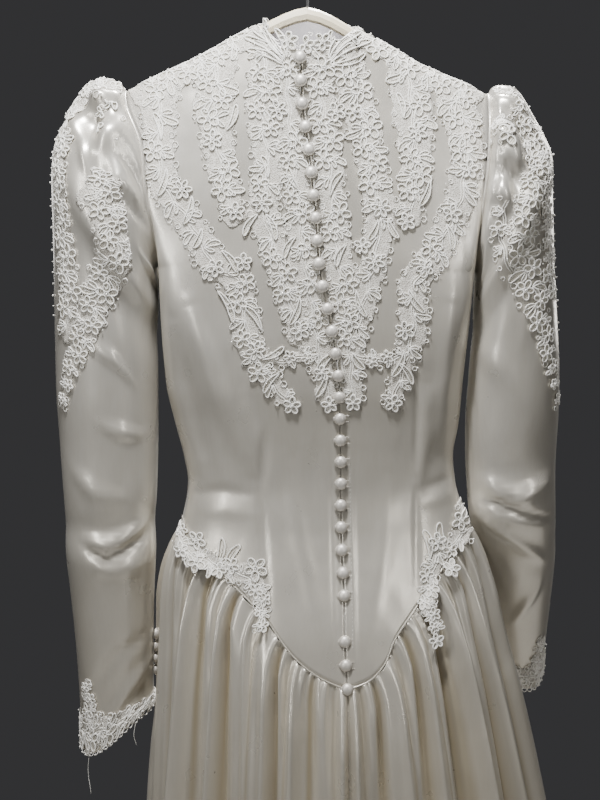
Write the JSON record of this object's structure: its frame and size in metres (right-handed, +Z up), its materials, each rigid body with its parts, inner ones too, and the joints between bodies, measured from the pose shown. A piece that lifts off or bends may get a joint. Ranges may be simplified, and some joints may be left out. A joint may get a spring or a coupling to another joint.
{
  "type": "wedding dress on a hanger",
  "caption": "Long-sleeved wedding dress with puffed sleeves, corded lace, a buttoned back and a gathered skirt, hung on a slim hanger.",
  "frame": {"origin": "inside top of the hanger's hook, where a rail holds it", "axes": "+Z up, the dress faces -Y and its buttoned back faces +Y, the wearer's left is +X"},
  "size_m": [0.6394, 0.4804, 1.6187],
  "materials": {
    "ivory_satin": "heavy ivory duchess satin with a soft gloss",
    "corded_lace": "matt corded lace with small beads",
    "button_satin": "buttons covered in the same satin",
    "hanger_cream": "smooth cream moulded hanger",
    "hook_steel": "bright wire"
  },
  "bodies": {
    "root": {"bodice_back_left": "ivory_satin", "bodice_back_right": "ivory_satin", "bodice_front": "ivory_satin", "button_back_01": "button_satin", "button_back_02": "button_satin", "button_back_03": "button_satin", "button_back_04": "button_satin", "button_back_05": "button_satin", "button_back_06": "button_satin", "button_back_07": "button_satin", "button_back_08": "button_satin", "button_back_09": "button_satin", "button_back_10": "button_satin", "button_back_11": "button_satin", "button_back_12": "button_satin", "button_back_13": "button_satin", "button_back_14": "button_satin", "button_back_15": "button_satin", "button_back_16": "button_satin", "button_back_17": "button_satin", "button_back_18": "button_satin", "button_back_19": "button_satin", "button_back_20": "button_satin", "button_back_21": "button_satin", "button_back_22": "button_satin", "button_back_23": "button_satin", "button_back_24": "button_satin", "button_back_25": "button_satin", "button_back_27": "button_satin", "button_back_28": "button_satin", "button_back_29": "button_satin", "button_cuff_left_1": "button_satin", "button_cuff_left_2": "button_satin", "button_cuff_left_3": "button_satin", "button_cuff_left_4": "button_satin", "button_cuff_right_1": "button_satin", "button_cuff_right_2": "button_satin", "button_cuff_right_3": "button_satin", "button_cuff_right_4": "button_satin", "hanger": "hanger_cream", "hook": "hook_steel", "lace_back_left": "corded_lace", "lace_back_right": "corded_lace", "lace_cuff_left": "corded_lace", "lace_cuff_right": "corded_lace", "lace_front_left": "corded_lace", "lace_front_right": "corded_lace", "lace_hip_left": "corded_lace", "lace_hip_right": "corded_lace", "lace_sleeve_left": "corded_lace", "lace_sleeve_right": "corded_lace", "skirt_back_left": "ivory_satin", "skirt_back_right": "ivory_satin", "skirt_front": "ivory_satin", "sleeve_left": "ivory_satin", "sleeve_right": "ivory_satin"}
  },
  "joints": []
}
